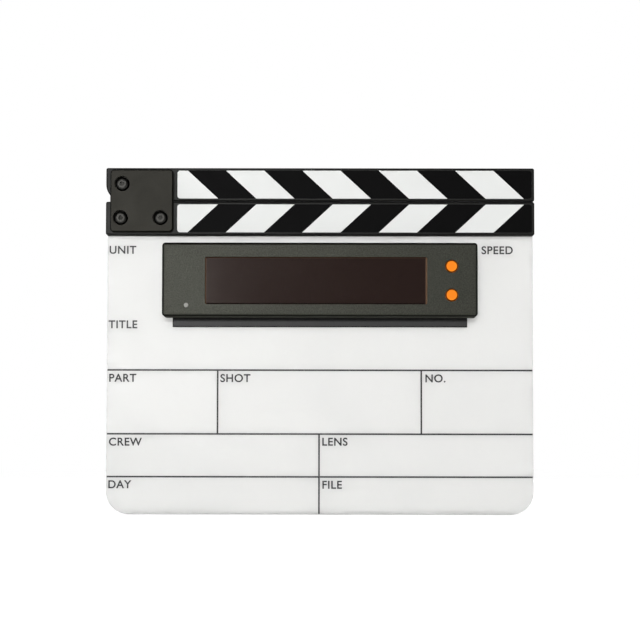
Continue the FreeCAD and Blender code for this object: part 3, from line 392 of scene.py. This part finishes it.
# %% Hairlines
SLANTS = (math.radians(18), math.radians(-47))
HAIRLINE_STRETCH = (0.012, 1.0, 1.0)
HAIRLINE_DETAIL, RIDGE_BAND = 1.0, (0.68, 0.74)

hairlines, given, result = start_group("hairlines", {"Scale": 700.0}, ["Mask"])
points = add_node(hairlines, "ShaderNodeTexCoord").outputs["Object"]
ridges = []
for slant in SLANTS:
    turned = add_node(hairlines, "ShaderNodeMapping", {"Rotation": (0, slant, 0)})
    stretched = add_node(hairlines, "ShaderNodeVectorMath", {1: HAIRLINE_STRETCH}, operation="MULTIPLY")
    hairlines.links.new(points, turned.inputs["Vector"])
    hairlines.links.new(turned.outputs[0], stretched.inputs[0])
    noise = add_noise(hairlines, stretched.outputs[0], given.outputs["Scale"], HAIRLINE_DETAIL)
    ridges.append(remap(hairlines, noise, 0, 1, *RIDGE_BAND))
hairlines.links.new(combine(hairlines, "MAXIMUM", *ridges), result.inputs["Mask"])
print("group:", hairlines.name)

# %% [markdown]
# Edges lose their colour first. The Bevel node gives the normal that a surface would have with rounded
# edges; where that turns away from the true normal, there is an edge. Noise breaks the line up, because
# wear comes in patches. The Pointiness value would be quicker, but it needs a dense mesh.

# %% Worn edges
BEVEL_SAMPLES = 4
EDGE_BAND = (0.99, 0.8)
WEAR_DETAIL, WEAR_BAND = 4.0, (0.42, 0.62)

worn_edges, given, result = start_group("worn_edges", {"Width": 0.5 * MM, "Patches": 120.0}, ["Mask"])
points = add_node(worn_edges, "ShaderNodeTexCoord").outputs["Object"]
rounded = add_node(worn_edges, "ShaderNodeBevel", samples=BEVEL_SAMPLES)
surface = add_node(worn_edges, "ShaderNodeNewGeometry")
likeness = add_node(worn_edges, "ShaderNodeVectorMath", operation="DOT_PRODUCT")
worn_edges.links.new(given.outputs["Width"], rounded.inputs["Radius"])
worn_edges.links.new(rounded.outputs["Normal"], likeness.inputs[0])
worn_edges.links.new(surface.outputs["Normal"], likeness.inputs[1])
edge = remap(worn_edges, likeness.outputs["Value"], 0, 1, *EDGE_BAND)
patches = add_noise(worn_edges, points, given.outputs["Patches"], WEAR_DETAIL)
patchy = remap(worn_edges, patches, 0, 1, *WEAR_BAND)
worn_edges.links.new(combine(worn_edges, "MULTIPLY", edge, patchy), result.inputs["Mask"])
print("group:", worn_edges.name)

# %% [markdown]
# The rounded and bevelled edges between broad faces and sides get a painted shade, darker than the faces,
# and a duller gloss. The normal tells them apart: on the broad faces of this object it points along Y,
# forwards or backwards, on the sides it stands square to Y, and on an eased edge it lies between. It keeps
# doing so when the upper stick turns about that same Y.

# %% Eased edges
FACE_LEAN, EDGE_LEAN = math.cos(math.radians(4)), math.cos(math.radians(20))
STEEP_LEAN, SIDE_LEAN = math.cos(math.radians(70)), math.cos(math.radians(85))

eased_edges, _, result = start_group("eased_edges", {}, ["Edges", "Front", "Leaning"])
surface = add_node(eased_edges, "ShaderNodeNewGeometry")
ways = add_node(eased_edges, "ShaderNodeSeparateXYZ")
facing = add_node(eased_edges, "ShaderNodeMath", operation="ABSOLUTE")
eased_edges.links.new(surface.outputs["Normal"], ways.inputs[0])
eased_edges.links.new(ways.outputs["Y"], facing.inputs[0])
leaning = remap(eased_edges, facing.outputs[0], 1, 0, EDGE_LEAN, FACE_LEAN)
front = remap(eased_edges, facing.outputs[0], 0, 1, SIDE_LEAN, STEEP_LEAN)
eased_edges.links.new(combine(eased_edges, "MULTIPLY", leaning, front), result.inputs["Edges"])
eased_edges.links.new(front, result.inputs["Front"])
eased_edges.links.new(leaning, result.inputs["Leaning"])
print("group:", eased_edges.name)

# %% [markdown]
# Sockets, gaps and inner corners get a painted shade, which makes them darker than their rendered shadow
# alone. The Ambient Occlusion node measures how closed in a point is, within a distance that is set for
# each finish, and noise keeps the border of the painted shade from looking drawn.

# %% Painted corner shade
SHADE_SAMPLES = 8
CLOSED_BAND = (0.35, 0.75)
SHADE_DETAIL, SHADE_BAND = 2.0, (0.4, 0.6)
THINNEST_SHADE = 0.8

painted_corner_shade, given, result = start_group("painted_corner_shade", {"Reach": 2 * MM, "Patches": 400.0}, ["Mask"])
points = add_node(painted_corner_shade, "ShaderNodeTexCoord").outputs["Object"]
openness = add_node(painted_corner_shade, "ShaderNodeAmbientOcclusion", samples=SHADE_SAMPLES)
painted_corner_shade.links.new(given.outputs["Reach"], openness.inputs["Distance"])
closed_in = remap(painted_corner_shade, openness.outputs["AO"], 1, 0, *CLOSED_BAND)
patches = add_noise(painted_corner_shade, points, given.outputs["Patches"], SHADE_DETAIL)
uneven = remap(painted_corner_shade, patches, THINNEST_SHADE, 1, *SHADE_BAND)
painted_corner_shade.links.new(combine(painted_corner_shade, "MULTIPLY", closed_in, uneven), result.inputs["Mask"])
print("group:", painted_corner_shade.name)

# %% [markdown]
# A moulded cover is dull along its outline and gets a painted shade there, and a tinted pane a painted
# glow. Both need to know how far a point is from the outline as seen from the front. Four ramps, one from
# each side of the piece's box, tell that, and the largest of them wins. Each side has a share of its own,
# since a glow may show on one side only; a share above one widens the part that is fully covered.

# %% Outline rims
RIM_SIDES = {"Left": "X", "Right": "X", "Bottom": "Z", "Top": "Z"}

rim_inputs = {"Wide": 1 * MM}
for side in RIM_SIDES:
    rim_inputs.update({side: 0.0, side + " Share": 1.0})
outline_rim, given, result = start_group("outline_rim", rim_inputs, ["Mask"])
points = add_node(outline_rim, "ShaderNodeTexCoord").outputs["Object"]
place = add_node(outline_rim, "ShaderNodeSeparateXYZ")
outline_rim.links.new(points, place.inputs[0])
rim = None
for side, axis in RIM_SIDES.items():
    ends = [place.outputs[axis], given.outputs[side]]
    if side in ("Right", "Top"):
        ends.reverse()
    inward = combine(outline_rim, "SUBTRACT", *ends)
    steps = combine(outline_rim, "DIVIDE", inward, given.outputs["Wide"])
    ramp = remap(outline_rim, steps, 1, 0)
    ramp = combine(outline_rim, "MULTIPLY", ramp, given.outputs[side + " Share"])
    rim = combine(outline_rim, "MAXIMUM", rim, ramp) if rim else ramp
outline_rim.links.new(rim, result.inputs["Mask"])


def place_rim(tree, low, high, wide, shares):
    """The rim mask for a box seen from the front; shares go left, right, bottom, top."""
    values = {"Wide": wide, "Left": low[0], "Right": high[0], "Bottom": low[2], "Top": high[2]}
    for side, share in zip(RIM_SIDES, shares):
        values[side + " Share"] = share
    return place_group(tree, outline_rim, values).outputs["Mask"]


print("group:", outline_rim.name)

# %% [markdown]
# ## One recipe for most finishes
# Paint, anodised metal and moulded plastic differ in numbers more than in kind. The recipe mixes a body
# colour with a fleck colour by the grain, lets a worn colour through at the edges, varies the gloss with
# smudges, and adds the grain as relief. A finish can also ask for drawn lines in place of the grain, for
# eased edges that are duller and carry a painted shade, for a painted shade along an outline and for a
# painted shade in corners. All these colours are shares of the body colour, so one colour sets them all.
# Values that are the same all over sit on the shader itself.

# %% Dressing a slot
slot_nodes = {}
for node in nodes.values():
    slot_nodes.setdefault(node.material_slots[0].material.name, []).append(node)


def dress(slot, material):
    """Gives the finish to every CAD node of that slot."""
    for node in slot_nodes[slot]:
        node.material_slots[0].material = material
    print(slot + ":", ", ".join(node.name for node in slot_nodes[slot]))


def tint(colour, share):
    """The colour made lighter or darker by that share."""
    return tuple(min(1.0, channel * share) for channel in colour[:3]) + (1,)


print("slots to dress:", len(slot_nodes))

# %% The common recipe
OUTLINE_SHADE_SHARES = (1.6, 1.8, 1.3, 3.0)


def make_finish(slot, body, fleck=1.3, worn=3.0, gloss=(0.45, 0.55), grain=0.6 * MM, relief=0.003 * MM,
                specular=0.3, shine=WHITE, metallic=0.0, lines=None, eased=None, rim=None, shade_in_corners=None):
    """A finish for one slot: flecked body, worn edges, uneven gloss, relief of grain or drawn lines.
    eased holds the colour share of the painted shade on eased edges and the roughness of edges and sides,
    rim the node whose outline gets that painted shade and dull gloss, and how wide, and the last argument
    the colour share of the painted shade in corners and its reach."""
    material, tree, shader = start_material(slot + "_finish")
    speckle = place_group(tree, fine_grain, {"Scale": 1 / grain})
    edges = place_group(tree, worn_edges, {})
    marks = place_group(tree, smudges, {})
    flecked = mix(tree, speckle.outputs["Speckle"], body, tint(body, fleck))
    colour = mix(tree, edges.outputs["Mask"], flecked, tint(body, worn))
    texture, height = marks.outputs["Mask"], speckle.outputs["Height"]
    if lines:
        drawn = place_group(tree, drawn_lines, {"Along": lines[0], "Across": lines[1]})
        texture = height = drawn.outputs["Lines"]
    roughness = remap(tree, texture, *gloss)
    if eased:
        lean = place_group(tree, eased_edges, {})
        dark, dull = lean.outputs["Edges"], lean.outputs["Leaning"]
        if rim:
            outline = place_rim(tree, *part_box(rim[0]), rim[1], OUTLINE_SHADE_SHARES)
            in_front = combine(tree, "MULTIPLY", outline, lean.outputs["Front"])
            dark = combine(tree, "MAXIMUM", dark, in_front)
            dull = combine(tree, "MAXIMUM", dull, outline)
        # Painted shade: the eased edges, and the outline when one is given, are darkened in colour; only
        # their duller gloss is roughness.
        colour = mix(tree, dark, colour, tint(body, eased[0]))
        roughness = mix(tree, dull, roughness, eased[1], "FLOAT")
    if shade_in_corners:
        # Painted shade in corners: the colour darkens where ambient occlusion finds the point closed in.
        corner_shade_mask = place_group(tree, painted_corner_shade, {"Reach": shade_in_corners[1]}).outputs["Mask"]
        colour = mix(tree, corner_shade_mask, colour, tint(body, shade_in_corners[0]))
    tree.links.new(colour, shader.inputs["Base Color"])
    tree.links.new(roughness, shader.inputs["Roughness"])
    add_relief(tree, shader, height, relief)
    shader.inputs["Specular IOR Level"].default_value = specular
    shader.inputs["Specular Tint"].default_value = shine
    shader.inputs["Metallic"].default_value = metallic
    dress(slot, material)


# %% [markdown]
# ## Writing board
# The board is a sheet of milky acrylic. Light enters it, scatters and comes out a little further on, so
# shadows on it are weak and its edge glows. Subsurface scattering does that; a plain white would look like
# painted wood. Old marker ink leaves faint grey wipes, and wiping leaves hairlines in the gloss.

# %% Board finish
BOARD_WHITE = (0.605, 0.605, 0.593, 1)
BOARD_WIPED = (0.592, 0.594, 0.583, 1)
BOARD_GLOSS = (0.36, 0.46)
BOARD_SPECULAR = 0.22
BOARD_SCATTER = 20 * MM
WIPE_SCALE = 9.0
SCRATCH_SCALE = 900.0
SCRATCH_DEPTH = 0.002 * MM

board_finish, tree, shader = start_material("board_acrylic_finish")
wipes = place_group(tree, smudges, {"Scale": WIPE_SCALE})
scratches = place_group(tree, hairlines, {"Scale": SCRATCH_SCALE})
tree.links.new(mix(tree, wipes.outputs["Mask"], BOARD_WHITE, BOARD_WIPED), shader.inputs["Base Color"])
tree.links.new(remap(tree, wipes.outputs["Mask"], *BOARD_GLOSS), shader.inputs["Roughness"])
add_relief(tree, shader, scratches.outputs["Mask"], -SCRATCH_DEPTH)
shader.inputs["Specular IOR Level"].default_value = BOARD_SPECULAR
shader.inputs["Subsurface Weight"].default_value = 1.0
shader.inputs["Subsurface Radius"].default_value = (1, 1, 1)
shader.inputs["Subsurface Scale"].default_value = BOARD_SCATTER
dress("board_acrylic", board_finish)

# %% [markdown]
# ## Sticks, hinge plate and bracket
# These are aluminium with a dark anodised skin. The sticks and the plate were bead-blasted first, which
# gives a fine even grain and a soft gloss. The plate has a touch of olive. The bracket is a plain drawn
# bar, greyer, with lines along its length.

# %% Dark metal finishes
OLIVE_SHINE = (1.0, 0.97, 0.86, 1)
# Painted shade: eased edges of sticks, plate and bracket are darkened in colour, and the bracket's
# closed-in corner under the display too.
make_finish("stick_metal", body=(0.014, 0.014, 0.0132, 1), gloss=(0.36, 0.38), relief=0.02 * MM,
            specular=0.07, eased=(0.6, 0.8))
make_finish("plate_metal", body=(0.0105, 0.01, 0.0082, 1), gloss=(0.36, 0.39), relief=0.03 * MM,
            specular=0.075, shine=OLIVE_SHINE, eased=(0.3, 0.8))
make_finish("bracket_metal", body=(0.041, 0.041, 0.041, 1), fleck=1.12, gloss=(0.34, 0.37),
            specular=0.075, lines=(25, 2200), relief=0.01 * MM, eased=(0.4, 0.85), shade_in_corners=(0.08, 8 * MM))

# %% [markdown]
# ## Stripes
# The stripes are thin laminate pieces laid into the sticks. The white ones are a clean satin white, the
# black ones a deep black that shines very little, so that both stay readable under strong light.

# %% Stripe finishes
make_finish("stripe_white", body=(0.795, 0.806, 0.79, 1), fleck=0.985, worn=0.9, gloss=(0.42, 0.52),
            specular=0.3)
make_finish("stripe_black", body=(0.0028, 0.0028, 0.0029, 1), fleck=1.4, gloss=(0.44, 0.48),
            relief=0.02 * MM, specular=0.022)

# %% [markdown]
# ## Fasteners
# The screws are steel with a black oxide skin, so they are a metal with a very dark colour: they show
# small highlights on their domes and stay black elsewhere. The washer and nut at the back are zinc
# plated, and the bush and the inserts are turned brass.

# %% Fastener finishes
# Painted shade: the screw sockets and the gaps round the heads are darkened in colour.
make_finish("screw_steel", body=(0.023, 0.0226, 0.021, 1), worn=2.5, gloss=(0.42, 0.46), metallic=1.0,
            shade_in_corners=(0.08, 2.5 * MM))
make_finish("nut_steel", body=(0.42, 0.42, 0.41, 1), fleck=0.9, worn=1.3, gloss=(0.3, 0.42),
            metallic=1.0)
make_finish("bush_brass", body=(0.62, 0.43, 0.18, 1), fleck=0.92, worn=1.2, gloss=(0.28, 0.36),
            metallic=1.0)
make_finish("insert_brass", body=(0.6, 0.42, 0.18, 1), fleck=0.85, worn=1.2, gloss=(0.35, 0.45),
            metallic=1.0)

# %% [markdown]
# ## Display covers
# The covers are moulded in dark plastic with a spark-eroded skin: a pebbled relief about a millimetre
# wide that breaks the highlight into grains. The relief does most of the work here, because the light
# that comes off black plastic is nearly all gloss.

# %% Cover finish
COVER_SHINE = (0.98, 1.0, 0.86, 1)
# Painted shade: the cover's eased edges, a band along its front outline and its closed-in corners and
# recesses are darkened in colour.
make_finish("cover_plastic", body=(0.029, 0.0297, 0.0243, 1), fleck=1.6, gloss=(0.25, 0.27),
            grain=0.8 * MM, relief=0.15 * MM, specular=0.082, shine=COVER_SHINE, eased=(0.2, 0.9),
            rim=("display_front_cover", 1.8 * MM), shade_in_corners=(0.1, 12 * MM))

# %% [markdown]
# ## Pane
# The pane is polished smoked acrylic with a red-brown tint, nearly black over the dark digits behind it.
# Its rim gets a painted amber glow, for light that would run through the tint there, most on the right,
# away from the shine. The outline rim paints that glow into the colour, because a wear mask would break it
# up. Finger marks show only as a slight change of gloss.

# %% Pane finish
PANE_TINT = (0.0187, 0.0106, 0.009, 1)
PANE_PAINTED_GLOW = (0.3, 0.18, 0.11, 1)
PANE_SHINE = (1.0, 0.9, 0.84, 1)
PANE_GLOSS = (0.091, 0.097)
PANE_MARK_SCALE = 55.0
PANE_SCRATCH_SCALE = 1100.0
PANE_SCRATCH_DEPTH = 0.0003 * MM
PANE_FLANGE = 2.15 * MM
GLOW_WIDE = 1.3 * MM
GLOW_SHARES = (0.4, 1.0, 0.0, 0.15)

flange = Vector((PANE_FLANGE, 0, PANE_FLANGE))
pane_low, pane_high = (Vector(corner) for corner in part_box("display_window"))
pane_finish, tree, shader = start_material("window_tint_finish")
# Painted glow: an amber colour along the pane's rim, strongest on the right.
glow = place_rim(tree, pane_low + flange, pane_high - flange, GLOW_WIDE, GLOW_SHARES)
tree.links.new(mix(tree, glow, PANE_TINT, PANE_PAINTED_GLOW), shader.inputs["Base Color"])
marks = place_group(tree, smudges, {"Scale": PANE_MARK_SCALE})
tree.links.new(remap(tree, marks.outputs["Mask"], *PANE_GLOSS), shader.inputs["Roughness"])
scratches = place_group(tree, hairlines, {"Scale": PANE_SCRATCH_SCALE})
add_relief(tree, shader, scratches.outputs["Mask"], -PANE_SCRATCH_DEPTH)
shader.inputs["Specular Tint"].default_value = PANE_SHINE
dress("window_tint", pane_finish)

# %% [markdown]
# ## Buttons and light guide
# The buttons are satin orange caps, coloured right through. Their rounded rims and the gaps around them
# get a painted shade, so they are darker there. The light guide is a frosted clear rod; with its lamp off
# it shows as a small pale dot.

# %% Button and guide finishes
# Painted shade: the button rims and the gaps round them are darkened in colour.
make_finish("button_orange", body=(1.0, 0.25, 0.009, 1), fleck=0.95, worn=1.1, gloss=(0.5, 0.6),
            specular=0.12, eased=(0.15, 0.6), shade_in_corners=(0.1, 0.8 * MM))
make_finish("guide_clear", body=(0.29, 0.285, 0.262, 1), fleck=1.15, worn=1.3, gloss=(0.35, 0.5),
            grain=0.4 * MM)

# %% [markdown]
# ## Pieces inside the display
# These only show when the covers come off, but the part may be taken apart, so each gets the finish of
# the real thing: green solder mask, dark digit faces, foil round the battery, plated sheet for the socket.

# %% Inner finishes
make_finish("circuit_laminate", body=(0.012, 0.09, 0.04, 1), fleck=1.2, worn=1.6, gloss=(0.28, 0.4),
            grain=0.4 * MM)
make_finish("digit_resin", body=(0.03, 0.028, 0.028, 1), fleck=1.1, gloss=(0.2, 0.32), grain=0.8 * MM)
make_finish("battery_wrap", body=(0.5, 0.5, 0.48, 1), fleck=0.93, worn=0.8, gloss=(0.34, 0.5),
            grain=2.5 * MM, relief=0.03 * MM)
make_finish("switch_plastic", body=(0.03, 0.03, 0.03, 1), worn=1.8, gloss=(0.4, 0.5))
make_finish("lamp_resin", body=(0.75, 0.74, 0.62, 1), fleck=0.95, worn=1.05, gloss=(0.12, 0.25),
            grain=0.3 * MM)
make_finish("washer_plastic", body=(0.6, 0.6, 0.57, 1), fleck=0.95, worn=0.85, gloss=(0.4, 0.5))
make_finish("socket_steel", body=(0.52, 0.52, 0.51, 1), fleck=0.92, worn=1.2, gloss=(0.24, 0.38),
            metallic=1.0, lines=(120, 3000), relief=0.001 * MM)

# %% [markdown]
# ## Printed fields
# The board is divided by thin printed rules: three across the whole board, and uprights between them.
# Ink has almost no thickness, so each rule is a very thin slab half sunk in the board's face. A texture
# could draw them too, but then they would blur as soon as someone looks closely.

# %% Ink
INK = (0.03, 0.03, 0.032, 1)
INK_WORN = (0.1, 0.1, 0.1, 1)
INK_GLOSS = (0.4, 0.55)
INK_SPECULAR = 0.2
FADE_SCALE = 160.0
MOST_FADED = 0.35

ink, tree, shader = start_material("printed_ink")
fading = place_group(tree, smudges, {"Scale": FADE_SCALE})
scratches = place_group(tree, hairlines, {"Scale": SCRATCH_SCALE})
faded = remap(tree, fading.outputs["Mask"], 0, MOST_FADED)
worn = combine(tree, "MAXIMUM", faded, scratches.outputs["Mask"])
tree.links.new(mix(tree, worn, INK, INK_WORN), shader.inputs["Base Color"])
tree.links.new(remap(tree, fading.outputs["Mask"], *INK_GLOSS), shader.inputs["Roughness"])
shader.inputs["Specular IOR Level"].default_value = INK_SPECULAR
print("ink:", ink.name)

# %% Ruled lines
INK_THICK = 0.06 * MM
RULE_WIDE = 1.1 * MM
RULE_END = 143.2 * MM
FIRST_RULE, SECOND_RULE, THIRD_RULE = 97.0 * MM, 54.0 * MM, 25.25 * MM
LEFT_UPRIGHT, MIDDLE_UPRIGHT, RIGHT_UPRIGHT = -68.85 * MM, -0.45 * MM, 68.35 * MM
UPRIGHT_FOOT = 0.5 * MM
board_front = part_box("slate_board")[0][1]


def add_slab(bm, left, right, low, high):
    """A thin slab of ink, half sunk in the board's face."""
    slab = bmesh.ops.create_cube(bm, size=1.0)["verts"]
    bmesh.ops.scale(bm, verts=slab, vec=(right - left, INK_THICK, high - low))
    bmesh.ops.translate(bm, verts=slab, vec=((left + right) / 2, board_front, (low + high) / 2))


HALF_RULE = RULE_WIDE / 2
bm = bmesh.new()
for z in (FIRST_RULE, SECOND_RULE, THIRD_RULE):
    add_slab(bm, -RULE_END, RULE_END, z - HALF_RULE, z + HALF_RULE)
for x, low, high in (
    (LEFT_UPRIGHT, SECOND_RULE + HALF_RULE, FIRST_RULE - HALF_RULE),
    (RIGHT_UPRIGHT, SECOND_RULE + HALF_RULE, FIRST_RULE - HALF_RULE),
    (MIDDLE_UPRIGHT, THIRD_RULE + HALF_RULE, SECOND_RULE - HALF_RULE),
    (MIDDLE_UPRIGHT, UPRIGHT_FOOT, THIRD_RULE - HALF_RULE),
):
    add_slab(bm, x - HALF_RULE, x + HALF_RULE, low, high)
ruled_lines = add_object("ruled_lines", mesh_from("ruled_lines", bm))
ruled_lines.data.materials.append(ink)
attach(ruled_lines, "board")
print("ruled lines:", len(ruled_lines.data.polygons), "faces")

# %% [markdown]
# ## Field labels
# Each field has a small printed label in its upper left corner that says what is written there. Blender's
# text object draws the letters as curves, and its offset makes the thin strokes bolder. They are made a
# mesh, stood upright and pressed into the board like the rules, and all labels become one piece, because
# they were printed in one go.

# %% Labels
CAP_HEIGHT = 5.75 * MM
CAP_SHARE = 0.73
BOLDER = 0.15 * MM
LETTER_SPACING = 1.08
WELD = 0.001 * MM
# Each label's word, its left end and its foot, in millimetres
LABELS = [
    ("UNIT", -142.7, 175.6), ("SPEED", 109.0, 175.6), ("TITLE", -142.7, 125.1),
    ("PART", -142.4, 89.0), ("SHOT", -67.2, 88.9), ("NO.", 70.7, 88.9),
    ("CREW", -142.1, 46.0), ("LENS", 1.3, 46.2), ("DAY", -142.5, 17.4), ("FILE", 1.4, 17.3),
]
STAND_UP = Matrix.Rotation(math.pi / 2, 4, "X")

bm = bmesh.new()
for words, left, low in LABELS:
    curve = bpy.data.curves.new("label", "FONT")
    curve.body = words
    curve.size = (CAP_HEIGHT - 2 * BOLDER) / CAP_SHARE
    curve.offset = BOLDER
    curve.space_character = LETTER_SPACING
    curve.extrude = INK_THICK / 2
    letters = bpy.data.objects.new("label", curve)
    flat = bpy.data.meshes.new_from_object(letters)
    flat.transform(Matrix.Translation((left * MM, board_front, low * MM + BOLDER)) @ STAND_UP)
    bm.from_mesh(flat)
    bpy.data.objects.remove(letters)
    bpy.data.meshes.remove(flat)
bmesh.ops.remove_doubles(bm, verts=bm.verts, dist=WELD)
bmesh.ops.recalc_face_normals(bm, faces=bm.faces)
field_labels = add_object("field_labels", mesh_from("field_labels", bm))
field_labels.data.materials.clear()
field_labels.data.materials.append(ink)
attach(field_labels, "board")
print("labels:", len(LABELS), "words,", len(field_labels.data.polygons), "faces")
